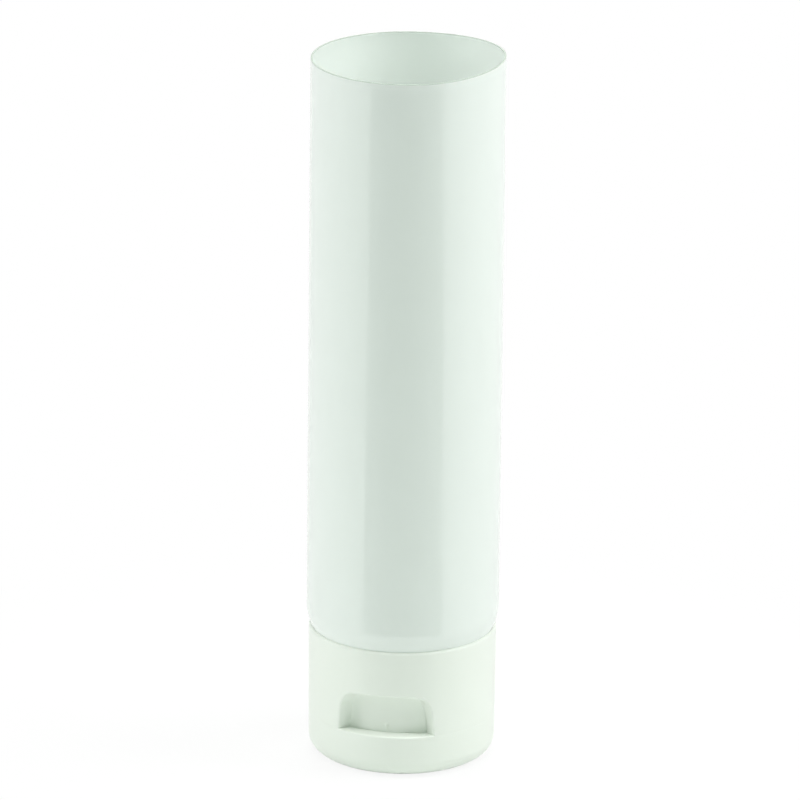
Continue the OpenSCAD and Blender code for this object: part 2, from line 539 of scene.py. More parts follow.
SLEEVE_GLOSS = PlasticFinish(
    name="gloss_sleeve_plastic",
    colour=(0.832, 0.885, 0.848),
    deep=(0.824, 0.879, 0.840),
    ior=1.6,
    roughness=0.08,
    roughness_spread=0.03,
    cloud=Breakup(scale=60.0, stretch=(1.0, 1.0, 0.3)),
    grain=Breakup(scale=900.0, stretch=(1.0, 1.0, 0.02)),
    grain_height=0.000004,
    scuff=0.0,
    scuff_top=0.001,
)
# Painted shade: the up-facing faces of the cut end are a darker grey-green, which paints the dark line along
# the mouth's lip
CUT_EDGE_PAINTED_SHADE = replace(
    SLEEVE_GLOSS,
    name="cut_edge_painted_shade",
    colour=(0.51, 0.57, 0.51),
    deep=(0.48, 0.54, 0.48),
    ior=1.2,
    roughness=0.55,
    grain=Breakup(scale=2400.0),
    grain_height=0.00002,
)
# Painted light: the lining is lighter than the outside, standing in for light that comes through the thin
# wall and bounces inside the tube
LINING_PAINTED_LIGHT = replace(
    SLEEVE_GLOSS,
    name="satin_lining_painted_light",
    colour=(0.935, 0.985, 0.945),
    deep=(0.930, 0.982, 0.940),
    ior=1.5,
    roughness=0.35,
)
CAP_SATIN = PlasticFinish(
    name="satin_cap_plastic",
    colour=(0.860, 0.905, 0.842),
    deep=(0.852, 0.900, 0.832),
    ior=1.5,
    roughness=0.42,
    roughness_spread=0.08,
    cloud=Breakup(scale=90.0),
    grain=Breakup(scale=5200.0, detail=1.0),
    grain_height=0.000012,
    scuff=0.15,
    scuff_top=0.0025,
)


def dress(piece: bpy.types.Object, finish: PlasticFinish, slot: Slot, *nodes: str) -> None:
    """Gives a piece its finish and hides the solids that it replaces.

    Args:
        piece: The piece.
        finish: Its finish.
        slot: Slot of the record; not used.
        *nodes: Solids that it replaces.
    """
    piece.data.materials.append(finish.material())
    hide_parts(*nodes)


@dataclass(frozen=True)
class CapForm:
    """Outer form that the two halves of the cap share.

    Attributes:
        rim_r: Radius at the rim.
        height: Height of the rim.
        parting_z: Height of the parting plane.
        hinge_y: Distance of the hinge axis from the tube's axis.
        film_leg: Distance from the flat behind the hinge to the hinge axis.
        draft: Draft of the outer wall, in degrees.
        wall: Thickness of the wall.
        plate: Thickness of the deck and of the lid's plate.
        ring_wall: Thickness of the spigot and of the rings.
        fit: Radial gap between spigot and lid.
        flat_h: Height of the flat on each side of the parting plane.
        recess_depth: Depth of the thumb recess.
        ledge_lap: Distance that the lid's ledge runs in under the middle of the recess's back.
    """

    rim_r: float
    height: float
    parting_z: float
    hinge_y: float
    film_leg: float = 0.2
    draft: float = 0.4
    wall: float = 1.4
    plate: float = 1.4
    ring_wall: float = 1.2
    fit: float = 0.35
    flat_h: float = 3.0
    recess_depth: float = 3.9
    ledge_lap: float = 0.6

    @property
    def hinge_flat(self) -> float:
        """Distance of the flat behind the hinge from the axis."""
        return self.hinge_y - self.film_leg

    @property
    def recess_back(self) -> float:
        """Radius of the recess's round back."""
        return float(self.radius(self.parting_z)) - self.recess_depth

    @property
    def ledge_back(self) -> float:
        """Distance of the ledge's inner edge from the axis."""
        return self.recess_back - self.ledge_lap

    @property
    def inner_r(self) -> float:
        """Radius inside the lid's wall."""
        return float(self.radius(self.parting_z)) - self.wall

    @property
    def flat_end(self) -> float:
        """Angle from the back at which the flat runs out."""
        return math.acos(self.hinge_flat / float(self.radius(self.parting_z)))

    def radius(self, z: Array | float) -> Array | float:
        """Radius of the drafted wall: it shrinks by tan(draft) per length below the rim."""
        return self.rim_r - (self.height - z) * math.tan(math.radians(self.draft))

    def clear_hinge(self, radius: Array, angle: Array, z: Array) -> Array:
        """Cuts radii back to the flat behind the hinge.

        The flat is the plane at hinge_flat from the axis, and past its height it slopes out at 45 degrees.
        The result is the lesser of the radius and the plane's distance / -cos a. The cosine is held above
        a half, beyond which the radius is the lesser anyway.

        Args:
            radius: Distances from the axis.
            angle: Angles from the front.
            z: Heights.

        Returns:
            The radii, cut back.
        """
        beyond = np.maximum(np.abs(z - self.parting_z) - self.flat_h, 0.0)
        facing = np.maximum(-np.cos(angle), 0.5)
        return np.minimum(radius, (self.hinge_flat + beyond) / facing)


@dataclass(frozen=True)
class Pocket:
    """Pocket in a drafted round wall: flared sides, drafted ceiling, a back as round as the wall; open below.

    Attributes:
        foot_z: Height of its lower border.
        back: Radius of its round back.
        front: Distance in front of the axis at which its width and height are taken.
        half_width: Half its width at the foot, at that distance.
        height: Height of its ceiling above the foot, at that distance.
        flare: Widening of each side per length outwards.
        draft: Rise of the ceiling per length outwards.
        corner_r: Radius of the upper corners.
        taper: Narrowing on each side from foot to ceiling.
        edge: Rounding of its mouth.
        fillet: Rounding between its sides and its back.
        top_fillet: Rounding between its ceiling and its back.
    """

    foot_z: float
    back: float
    front: float
    half_width: float
    height: float
    flare: float
    draft: float
    corner_r: float
    taper: float
    edge: float
    fillet: float
    top_fillet: float

    SIDE_STEPS = 36
    CORNER_STEPS = 16
    TOP_STEPS = 84
    WALL_STEPS = 8
    EDGE_STEPS = 6
    FILLET_STEPS = 10
    SEARCH_STEPS = 40

    def lined(self, wall: float, foot_z: float, fillet: float) -> "Pocket":
        """The pocket of the wall that lines this one on the inside.

        Args:
            wall: Thickness of the lining.
            foot_z: Height of the lining's lower border.
            fillet: Rounding between the lining's walls and its back.

        Returns:
            The larger pocket.
        """
        lost = foot_z - self.foot_z
        return replace(
            self,
            foot_z=foot_z,
            back=self.back - wall,
            half_width=self.half_width + wall * math.hypot(1.0, self.flare) - self.taper * lost / self.height,
            height=self.height + wall * math.hypot(1.0, self.draft) - lost,
            corner_r=self.corner_r + wall,
            fillet=fillet,
            top_fillet=fillet,
        )

    def outline(self) -> tuple[Array, Array]:
        """The outline at the front distance, from the right foot over the ceiling to the left foot.

        Each side is straight, each corner is its centre plus r (cos a, sin a), and the ceiling is straight.

        Returns:
            Points (x, height above the foot) and their outward directions.
        """
        lean = math.atan2(self.taper, self.height - self.corner_r)
        turn = np.linspace(lean, math.pi / 2, self.CORNER_STEPS + 1)
        corner_out = np.column_stack((np.cos(turn), np.sin(turn)))
        corner = self.corner_centre() + self.corner_r * corner_out
        foot = np.array((self.half_width, 0.0))
        side = np.linspace(foot, corner[0], self.SIDE_STEPS + 1)[:-1]
        side_out = np.linspace((1.0, 0.0), corner_out[0], self.SIDE_STEPS + 1)[:-1]
        top = np.linspace(corner[-1], corner[-1] * (-1.0, 1.0), self.TOP_STEPS + 1)[1:-1]
        top_out = np.broadcast_to((0.0, 1.0), top.shape)
        right = np.concatenate((side, corner))
        right_out = np.concatenate((side_out, corner_out))
        mirror = np.array((-1.0, 1.0))
        points = np.concatenate((right, top, right[::-1] * mirror))
        return points, np.concatenate((right_out, top_out, right_out[::-1] * mirror))

    def corner_centre(self) -> Array:
        """Centre (x, height above the foot) of the right upper corner."""
        return np.array((self.half_width - self.taper - self.corner_r, self.height - self.corner_r))

    def wall_point(self, out: Array) -> Array:
        """Points of the pocket's wall at distances in front of the axis.

        The whole outline widens by the flare and rises by the draft per length outwards. The ceiling's
        points share out the widening, and the sides' points share out the rise.

        Args:
            out: Distances in front of the axis, one for each point of the outline.

        Returns:
            Points in space.
        """
        points = self.outline()[0]
        sharing = np.clip(points / self.corner_centre(), -1.0, 1.0)
        moved = points + (out - self.front)[:, None] * sharing * (self.flare, self.draft)
        return np.column_stack((moved[:, 0], -out, self.foot_z + moved[:, 1]))

    def meets(self, radius: Callable[[Array], Array]) -> Array:
        """Points where the pocket's wall meets a round wall, found by halving.

        Args:
            radius: Radius of the round wall at a height.

        Returns:
            One point in space for each point of the outline.
        """
        low = np.full(len(self.outline()[0]), self.back / 2)
        high = np.full_like(low, 2 * self.front)
        for _ in range(self.SEARCH_STEPS):
            middle = (low + high) / 2
            point = self.wall_point(middle)
            inside = np.hypot(point[:, 0], point[:, 1]) < radius(point[:, 2])
            low = np.where(inside, middle, low)
            high = np.where(inside, high, middle)
        return self.wall_point(low)


@dataclass(frozen=True)
class RecessedWall:
    """A drafted round wall with a pocket in its front, as patches that share their borders.

    Attributes:
        pocket: The pocket.
        radius: Radius of the wall at an angle and a height.
        relief: Rise of the pocket's back at an angle and a height.
        top_z: Height at which the patch round the pocket ends.
        half_angle: Half the angle that this patch takes.
    """

    pocket: Pocket
    radius: Callable[[Array, Array], Array]
    relief: Callable[[Array, Array], Array]
    top_z: float
    half_angle: float

    COLLAR_STEPS = 10
    COLLAR_POWER = 1.6
    RING_STEPS = 220

    def ring_angles(self) -> Array:
        """Angles of the columns round the back, from one side of the collar to the other."""
        return np.linspace(self.half_angle, 2 * math.pi - self.half_angle, self.RING_STEPS + 1)

    def collar_frame(self) -> tuple[Array, Array, int]:
        """The frame round the pocket, which its outline's points are spread over.

        Returns:
            Angle and height of each point, and the number of steps up each side.
        """
        pocket = self.pocket
        side = pocket.SIDE_STEPS + pocket.CORNER_STEPS // 2
        across = pocket.TOP_STEPS + pocket.CORNER_STEPS
        up = np.linspace(pocket.foot_z, self.top_z, side + 1)
        over = np.linspace(self.half_angle, -self.half_angle, across + 1)
        angle = np.concatenate((np.full(side, self.half_angle), over, np.full(side, -self.half_angle)))
        height = np.concatenate((up[:-1], np.full(across + 1, self.top_z), up[-2::-1]))
        return angle, height, side

    def collar(self) -> Array:
        """Rows from the frame to the pocket's mouth, over its rounded edge, along its wall and to its back.

        Between the frame and the mouth, angle and height are mixed by a power of the row's share, which
        crowds the rows towards the mouth. The wall is straight between two roundings.

        Returns:
            Grid of points.
        """
        pocket = self.pocket
        mouth = pocket.meets(lambda z: self.radius(np.zeros_like(z), z))
        corner = pocket.meets(lambda z: np.full_like(z, pocket.back))
        out = pocket.outline()[1]
        bend = pocket.fillet + (pocket.top_fillet - pocket.fillet) * out[:, 1] ** 2
        mouth_r = np.hypot(mouth[:, 0], mouth[:, 1])
        lip_angle = np.arctan2(mouth[:, 0], -mouth[:, 1]) + pocket.edge * out[:, 0] / mouth_r
        lip_z = mouth[:, 2] + pocket.edge * out[:, 1]
        frame_angle, frame_z, _ = self.collar_frame()
        share = (1.0 - np.linspace(0.0, 1.0, self.COLLAR_STEPS + 1)[:, None]) ** self.COLLAR_POWER
        angle = lip_angle + share * (frame_angle - lip_angle)
        height = lip_z + share * (frame_z - lip_z)
        outside = around(self.radius(angle, height), angle, height)
        inward = (corner - mouth) / np.linalg.norm(corner - mouth, axis=1, keepdims=True)
        wall_start = mouth + pocket.edge * inward
        wall_end = corner - bend[:, None] * inward
        back_angle = np.arctan2(corner[:, 0], -corner[:, 1]) - bend * out[:, 0] / pocket.back
        back_edge = around(pocket.back, back_angle, corner[:, 2] - bend * out[:, 1])
        edge = bent_edge(outside[-1], mouth, wall_start, pocket.EDGE_STEPS)
        wall = np.linspace(wall_start, wall_end, pocket.WALL_STEPS + 1)
        fillet = bent_edge(wall_end, corner, back_edge, pocket.FILLET_STEPS)
        return np.concatenate((outside, edge[1:-1], wall, fillet[1:]))

    def back(self, rim: Array) -> Array:
        """The round back, spread in angle and height between the end of the pocket's walls and a level foot.

        Args:
            rim: Points at the end of the pocket's walls.

        Returns:
            Grid of points.
        """
        side = self.collar_frame()[2]
        flat = np.column_stack((np.arctan2(rim[:, 0], -rim[:, 1]), rim[:, 2]))
        left = flat[-side - 1:][::-1]
        right = flat[:side + 1]
        bottom = np.linspace(left[0], right[0], len(rim) - 2 * side)
        spread = border_patch(left, right, bottom, flat[side:len(rim) - side][::-1])
        rise = self.relief(spread[..., 0], spread[..., 1])
        return around(self.pocket.back + rise, spread[..., 0], spread[..., 1])

    def add_to(self, patches: Patchwork) -> tuple[Array, Array]:
        """Adds the wall up to the top of its collar.

        Args:
            patches: Where the patches go.

        Returns:
            The lower border, as a closed loop of points, and the angles of the upper border.
        """
        collar = self.collar()
        back = self.back(collar[-1])
        side = self.collar_frame()[2]
        ring_angle = self.ring_angles()[None, :]
        ring_z = np.linspace(self.pocket.foot_z, self.top_z, side + 1)[:, None]
        ring = around(self.radius(ring_angle, ring_z), ring_angle, ring_z)
        for grid in (collar, back, ring):
            patches.add(grid)
        border = np.concatenate((ring[0], collar[1:, -1], back[0, 1:], collar[-2:0:-1, 0]))
        over = np.linspace(-self.half_angle, self.half_angle, back.shape[1])
        return border, np.concatenate((over, self.ring_angles()[1:-1]))


@dataclass(frozen=True)
class Tube:
    """Sleeve, shoulder and neck in one piece, open at the top.

    Attributes:
        radius: Outer radius of the sleeve.
        top_z: Height of the open end.
        neck_end_z: Height of the neck's end.
        cap: Form of the cap under it.
        wall: Wall of the sleeve.
        rim_gap: Gap between the cap's rim and the shoulder.
        land_inset: Distance from the inside of the cap's wall in to where the shoulder starts to slope.
        rim_step: Step from the cap's rim in to the sleeve's foot.
        draw_in_r: Radius of the soft curve that draws the sleeve in.
        edge_r: Radius of the edge under that curve.
        mouth_edge: Rounding of the cut edge.
        slope: Slope of the shoulder, in degrees.
        shoulder_wall: Wall of the shoulder.
        fillet_r: Fillet inside, from sleeve to shoulder.
        neck_r: Outer radius of the neck.
        neck_wall: Wall of the neck.
        bead_r: Radius of the snap bead.
        bead_up: Height of the bead above the neck's end.
        mouth_side: Angle of the side on which the cut end rises.
        mouth_lift: Height by which it rises there.
        lift_half_angle: Angle from there at which the rise has died out.
        mouth_pinch: Distance by which the wall is pushed in beside it.
        pinch_turn: Angle from the rise to the middle of the pinch.
        pinch_half_angle: Angle from that middle at which the pinch has died out.
        mouth_turn: Distance by which the whole cut edge is turned in.
    """

    radius: float
    top_z: float
    neck_end_z: float
    cap: CapForm
    wall: float = 0.55
    rim_gap: float = 0.006
    land_inset: float = 0.3
    rim_step: float = 0.62
    draw_in_r: float = 15.0
    edge_r: float = 0.02
    mouth_edge: float = 0.16
    slope: float = 28.0
    shoulder_wall: float = 1.6
    fillet_r: float = 3.0
    neck_r: float = 13.0
    neck_wall: float = 1.5
    bead_r: float = 0.7
    bead_up: float = 5.0
    mouth_side: float = math.radians(100.9)
    mouth_lift: float = 0.9
    lift_half_angle: float = math.radians(85)
    mouth_pinch: float = 0.5
    pinch_turn: float = math.radians(-45)
    pinch_half_angle: float = math.radians(65)
    mouth_turn: float = 0.1

    COLUMNS = 288
    SLEEVE_ROWS = 70
    LINING_ROWS = 60
    MOUTH_ROWS = 10
    # Width of the first row of faces on the cone inside
    CONE_ROW = 1.0
    # Distances below the cut end at which the lift, the pinch and the turned-in edge have died out
    LIFT_REACH = 45.0
    PINCH_REACH = 70.0
    TURN_REACH = 3.0
    # Least upward part of the normal of a face at the cut end that gets the painted shade of the lip
    PAINTED_SHADE_FACING = 0.15

    def profile(self) -> Array:
        """The wall's section: a loop of (r, z) from the cut edge down the outside and up the inside.

        The sleeve is straight, and an arc draws it in to its foot. A flat land and a slope lead to the neck
        and its bead. Inside, the cone runs parallel to the slope and an arc takes it up to the wall.

        Returns:
            Points (r, z), one row each.
        """
        cap = self.cap
        land_z = cap.height + self.rim_gap
        land_r = cap.rim_r - cap.wall - self.land_inset
        tan_slope = math.tan(math.radians(self.slope))
        thick = self.shoulder_wall / math.cos(math.radians(self.slope))
        foot_r = cap.rim_r - self.rim_step
        turn = math.degrees(math.acos(1.0 - (self.radius - foot_r) / self.draw_in_r))
        sine = math.sin(math.radians(turn))
        draw_in_z = land_z + self.edge_r + (self.draw_in_r - self.edge_r) * sine
        corner_r = foot_r - self.edge_r * math.cos(math.radians(turn))
        bore_r = self.neck_r - self.neck_wall
        cone_r = bore_r + self.CONE_ROW
        inner_r = self.radius - self.wall
        bead_z = self.neck_end_z + self.bead_up

        def under(r: float) -> float:
            """Height of the shoulder's lower face at a radius."""
            return land_z - (land_r - r) * tan_slope

        rise = self.fillet_r / math.tan(math.radians(90.0 + self.slope) / 2)
        fillet_z = under(inner_r) + thick + rise
        edge = self.mouth_edge
        cut_z = self.top_z - edge
        fine_z = self.top_z - 2 * self.TURN_REACH
        return np.concatenate((
            arc(inner_r + edge, cut_z, edge, 180, 90, 4),
            arc(self.radius - edge, cut_z, edge, 90, 0, 4),
            line((self.radius, cut_z - edge), (self.radius, fine_z), self.MOUTH_ROWS),
            line((self.radius, fine_z), (self.radius, draw_in_z), self.SLEEVE_ROWS)[1:-1],
            arc(self.radius - self.draw_in_r, draw_in_z, self.draw_in_r, 0, -turn, 14),
            arc(corner_r, land_z + self.edge_r, self.edge_r, -turn, -90, 8)[1:],
            line((land_r, land_z), (self.neck_r, under(self.neck_r)), 4),
            arc(self.neck_r, bead_z, self.bead_r, 90, -90, 10),
            line((self.neck_r, self.neck_end_z), (bore_r, self.neck_end_z)),
            line((bore_r, under(bore_r) + thick), (cone_r, under(cone_r) + thick)),
            arc(inner_r - self.fillet_r, fillet_z, self.fillet_r, self.slope - 90, 0, 10),
            line((inner_r, fillet_z), (inner_r, fine_z), self.LINING_ROWS)[1:],
            line((inner_r, fine_z), (inner_r, cut_z - edge), self.MOUTH_ROWS)[1:],
        ))

    def grid(self) -> Array:
        """The profile turned about the axis, with the cut end a little out of true.

        The lift adds a hump in angle to z, and the pinch and the turned-in edge take from r. Each dies out
        down the sleeve as a smooth step.

        Returns:
            Grid of points, a closed loop of rows.
        """
        section = self.profile()
        section = np.vstack((section, section[:1]))
        angle = np.linspace(0.0, 2 * math.pi, self.COLUMNS, endpoint=False)[None, :]
        r, z = section[:, :1], section[:, 1:]
        sleeve = r > self.radius - 2 * self.wall
        lift = self.mouth_lift * smooth_step(self.top_z - self.LIFT_REACH, self.top_z, z)
        pinch = self.mouth_pinch * smooth_step(self.top_z - self.PINCH_REACH, self.top_z, z)
        turned = self.mouth_turn * smooth_step(self.top_z - self.TURN_REACH, self.top_z, z) ** 2
        rise = np.where(sleeve, lift * hump(angle, self.mouth_side, self.lift_half_angle), 0.0)
        pinch_side = self.mouth_side + self.pinch_turn
        inward = pinch * hump(angle, pinch_side, self.pinch_half_angle) + turned
        return around(r - np.where(sleeve, inward, 0.0), angle, z + rise)

    def build(self) -> bpy.types.Object:
        """Builds and dresses the tube.

        Returns:
            The tube.
        """
        patches = Patchwork()
        patches.add(self.grid(), ring=True)
        piece = patches.piece("sleeve_and_shoulder")
        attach(piece, Body.TUBE.value)
        dress(piece, SLEEVE_GLOSS, Slot.SLEEVE, "tube")
        self.finish_inside(piece)
        return piece

    def finish_inside(self, piece: bpy.types.Object) -> None:
        """Gives the faces that look up at the open end a darker finish that paints the lip's shade, and those
        inside the lining's finish, painted lighter.

        A face is inside if it stands above the cap and its normal points to the axis.

        Args:
            piece: The tube.
        """
        for finish in (CUT_EDGE_PAINTED_SHADE, LINING_PAINTED_LIGHT):
            piece.data.materials.append(finish.material())
        faces = piece.data.polygons
        middle = np.empty((len(faces), 3), dtype=np.float32)
        facing = np.empty_like(middle)
        faces.foreach_get("center", middle.ravel())
        faces.foreach_get("normal", facing.ravel())
        at_end = middle[:, 2] > (self.top_z - self.TURN_REACH) * MM
        above_cap = middle[:, 2] > (self.cap.height + self.rim_gap) * MM
        # Painted shade of the lip: up-facing faces at the cut end
        cut = at_end & (facing[:, 2] > self.PAINTED_SHADE_FACING)
        # Painted light: faces inside the tube get the lighter lining colour
        lining = above_cap & ((middle * facing)[:, :2].sum(axis=1) < 0.0)
        faces.foreach_set("material_index", np.where(cut, 1, np.where(lining, 2, 0)).astype(np.int32))


@dataclass(frozen=True)
class CapBase:
    """Lower half of the flip-top cap: skirt with thumb recess, deck, rings, nozzle and spigot.

    Attributes:
        cap: Form of the cap.
        foot_z: Height of the skirt's foot.
        neck_r: Outer radius of the neck that it grips.
        neck_bore_r: Radius inside that neck.
        shoulder_z: Height that the snap ring reaches.
        recess_w: Width of the recess's mouth at the parting plane.
        recess_h: Height of the recess.
        recess_flare: Flare of the recess's sides, in degrees.
        recess_draft: Draft of the recess's ceiling, in degrees.
        corner_r: Radius of the recess's upper corners.
        taper: Narrowing of the recess on each side.
        mouth_edge: Rounding of the recess's mouth.
        fillet: Rounding between the recess's sides and its back.
        top_fillet: Rounding between the recess's ceiling and its back.
        lining_fillet: The same on the inside of the skirt.
        foot_edge: Rounding of the edge at the parting plane.
        edge_r: Rounding of the spigot's and the nozzle's edges.
        rim_edge_r: Rounding of the rim.
        spigot_h: Height of the spigot.
        spigot_step: Step from the recess's walls back to the spigot under them.
        web_drop: Depth below the foot of the webs that close the spigot's corners behind the ledge.
        web_t: Thickness of these webs.
        web_fit: Gap between the webs and the ledge.
        seal_h: Height of the seal ring.
        orifice_r: Radius of the orifice.
        nozzle_r: Radius of the nozzle's tip.
        nozzle_h: Height of the nozzle.
        neck_fit: Radial gap between neck and rings.
        bead_r: Radius of the snap groove.
        bead_z: Height of the snap groove.
        rib_h: Height of the ribs.
        rib_t: Thickness of the ribs.
        rib_pitch: Angle between ribs, in degrees.
        rib_count: Number of ribs.
        rib_lap: Distance that the ribs run into the deck, the snap ring and the skirt.
        pip_half_w: Half the width of the mould's pip on the recess's back, at its top.
        pip_waist: Share of that width at half the pip's height.
        pip_half_h: Half the pip's height.
        pip_rise: Rise of the pip.
        pip_up: Height of its middle above the parting plane.
    """

    cap: CapForm
    foot_z: float
    neck_r: float
    neck_bore_r: float
    shoulder_z: float = 27.3
    recess_w: float = 25.2
    recess_h: float = 11.0
    recess_flare: float = 40.0
    recess_draft: float = 10.0
    corner_r: float = 5.5
    taper: float = 0.6
    mouth_edge: float = 0.45
    fillet: float = 0.3
    top_fillet: float = 1.1
    lining_fillet: float = 0.6
    foot_edge: float = 0.025
    edge_r: float = 0.12
    rim_edge_r: float = 0.8
    spigot_h: float = 2.5
    spigot_step: float = 0.03
    web_drop: float = 0.3
    web_t: float = 0.8
    web_fit: float = 0.1
    seal_h: float = 3.0
    orifice_r: float = 2.5
    nozzle_r: float = 4.0
    nozzle_h: float = 3.0
    neck_fit: float = 0.15
    bead_r: float = 0.7
    bead_z: float = 17.9
    rib_h: float = 8.0
    rib_t: float = 1.0
    rib_pitch: float = 54.0
    rib_count: int = 5
    rib_lap: float = 0.2
    pip_half_w: float = 0.7
    pip_waist: float = 0.55
    pip_half_h: float = 0.9
    pip_rise: float = 0.3
    pip_up: float = 1.65

    # Half the angle of the patch round the recess, and its top above the parting plane
    COLLAR_HALF_ANGLE = math.radians(38)
    COLLAR_TOP = 13.6
    # Width of the first row of faces on the deck, outside the snap ring
    DECK_ROW = 1.0

    def outside(self, angle: Array, z: Array) -> Array:
        """Radius of the skirt outside, cut back behind the hinge."""
        return self.cap.clear_hinge(self.cap.radius(z) + 0.0 * angle, angle, z)

    def inside(self, angle: Array, z: Array) -> Array:
        """Radius of the skirt inside."""
        return self.cap.radius(z) - self.cap.wall + 0.0 * angle

    def plain(self, angle: Array, z: Array) -> Array:
        """No rise, for a back without a mark."""
        return 0.0 * (angle + z)

    def pip(self, angle: Array, z: Array) -> Array:
        """Rise of the mould's small pip on the recess's back, a pillow that is widest above.

        With u across and v up, each from -1 to 1 over the pip, the rise is (1 - u^2)(1 - v^2). Its width
        grows with v.

        Args:
            angle: Angles from the front.
            z: Heights.

        Returns:
            The rise at each point.
        """
        v = np.clip((z - self.cap.parting_z - self.pip_up) / self.pip_half_h, -1.0, 1.0)
        half_w = self.pip_half_w * (self.pip_waist + (1 - self.pip_waist) * v)
        u = np.clip(angle * self.cap.recess_back / half_w, -1.0, 1.0)
        return self.pip_rise * (1 - u**2) * (1 - v**2)

    def skins(self) -> tuple[RecessedWall, RecessedWall]:
        """The skirt's two faces, each with its pocket.

        Returns:
            The outside and the inside.
        """
        cap = self.cap
        deck_z = cap.parting_z + cap.plate
        collar_z = cap.parting_z + self.COLLAR_TOP
        front = float(cap.radius(cap.parting_z))
        flare = math.tan(math.radians(self.recess_flare))
        half = self.recess_w / 2
        pocket = Pocket(
            foot_z=self.foot_z + self.foot_edge,
            back=cap.recess_back,
            front=front,
            half_width=half + (front - math.sqrt(front**2 - half**2)) * flare,
            height=cap.parting_z + self.recess_h - self.foot_z - self.foot_edge,
            flare=flare,
            draft=math.tan(math.radians(self.recess_draft)),
            corner_r=self.corner_r,
            taper=self.taper,
            edge=self.mouth_edge,
            fillet=self.fillet,
            top_fillet=self.top_fillet,
        )
        lining = pocket.lined(cap.wall, deck_z, self.lining_fillet)
        outer = RecessedWall(pocket, self.outside, self.pip, collar_z, self.COLLAR_HALF_ANGLE)
        return outer, RecessedWall(lining, self.inside, self.plain, collar_z, self.COLLAR_HALF_ANGLE)

    def rim(self, angle: Array) -> Array:
        """The upper skirt, its rounded rim and the inside, as a profile turned about the axis.

        Args:
            angle: Angles of the columns.

        Returns:
            Grid of points.
        """
        cap = self.cap
        collar_z = cap.parting_z + self.COLLAR_TOP
        bend_z = cap.height - self.rim_edge_r
        inner = cap.rim_r - cap.wall
        bend_r = float(cap.radius(bend_z))
        section = np.concatenate((
            line((float(cap.radius(collar_z)), collar_z), (bend_r, bend_z), 12),
            arc(bend_r - self.rim_edge_r, bend_z, self.rim_edge_r, 0, 90, 8)[1:],
            line((inner, cap.height), (float(cap.radius(collar_z)) - cap.wall, collar_z), 10),
        ))
        return around(section[:, :1], angle[None, :], section[:, 1:])

    def spigot(self, inset: float, angle: Array) -> Array:
        """Radius of the spigot's outline: round, but it runs under the recess's walls and clears the ledge.

        Where the plane of a flared side passes the axis at a distance p, it is p / sin(a - flare) from the
        axis. The outline is that distance, held between the recess's back and the round wall, and straight
        behind the ledge.

        Args:
            inset: Distance inside the spigot's outer face.
            angle: Angles from the front.

        Returns:
            Distance of the outline from the axis at each angle.
        """
        cap = self.cap
        radius = cap.inner_r - cap.fit - inset
        step = self.spigot_step + inset
        flare = math.radians(self.recess_flare)
        half = self.recess_w / 2
        mouth = math.sqrt(float(cap.radius(cap.parting_z)) ** 2 - half**2)
        plane = half * math.cos(flare) - mouth * math.sin(flare) + step
        side = plane / np.minimum(np.sin(np.abs(angle) - flare), plane / radius)
        straight = straight_fronted(radius, cap.ledge_back - cap.fit - inset, angle)
        return np.minimum(np.clip(side, cap.recess_back - step, radius), straight)

    def underside(self, border: Array, lining: Array) -> Array:
        """Rows from the skirt's foot over spigot, nozzle, orifice and both rings to the skirt's inside.

        Each row is a circle, or passes behind the recess, at the angles of the two borders.

        Args:
            border: Loop of points at the skirt's foot.
            lining: Loop of as many points at the foot of its inside.

        Returns:
            Grid of points.
        """
        cap = self.cap
        low = np.arctan2(border[:, 0], -border[:, 1])
        high = np.arctan2(lining[:, 0], -lining[:, 1])
        foot_z, deck_z = self.foot_z, cap.parting_z + cap.plate
        inward = np.hypot(border[:, 0], border[:, 1]) - self.foot_edge
        sharp = around(inward + self.foot_edge, low, foot_z)
        foot = bent_edge(border, sharp, around(inward, low, foot_z), 4)
        outer = self.spigot(0.0, low)
        inner = self.spigot(cap.ring_wall, low)
        web = straight_fronted(cap.inner_r - cap.fit, cap.ledge_back - self.web_fit, low)
        web_z = foot_z - self.web_drop
        spigot_z = foot_z - self.spigot_h
        tip_z = foot_z - self.nozzle_h
        root_r = self.nozzle_r + cap.ring_wall / 2
        edge = self.edge_r
        web_foot_z = web_z - self.web_t
        lower = (
            (outer, foot_z), (outer, web_z), (web, web_z), (web, web_foot_z), (outer, web_foot_z),
            (outer, spigot_z + edge), (outer - edge, spigot_z),
            (inner + edge, spigot_z), (inner, spigot_z + edge), (inner, foot_z),
            (root_r, foot_z), (self.nozzle_r, tip_z + edge),
            (self.nozzle_r - edge, tip_z), (self.orifice_r, tip_z),
        )
        seal_r = self.neck_bore_r - self.neck_fit
        grip_r = self.neck_r + self.neck_fit
        ring_r = grip_r + cap.ring_wall
        upper = np.concatenate((
            line((self.orifice_r, deck_z), (seal_r - cap.ring_wall, deck_z), 4),
            line((seal_r - cap.ring_wall, deck_z + self.seal_h), (seal_r, deck_z + self.seal_h)),
            line((seal_r, deck_z), (grip_r, deck_z)),
            arc(grip_r, self.bead_z, self.bead_r, -90, 90, 8),
            line((grip_r, self.shoulder_z), (ring_r, self.shoulder_z)),
            line((ring_r, deck_z), (ring_r + self.DECK_ROW, deck_z)),
        ))
        below = np.stack([around(r, low, z) for r, z in lower])
        above = around(upper[:, :1], high[None, :], upper[:, 1:])
        return np.concatenate((foot, below, above, lining[None]))

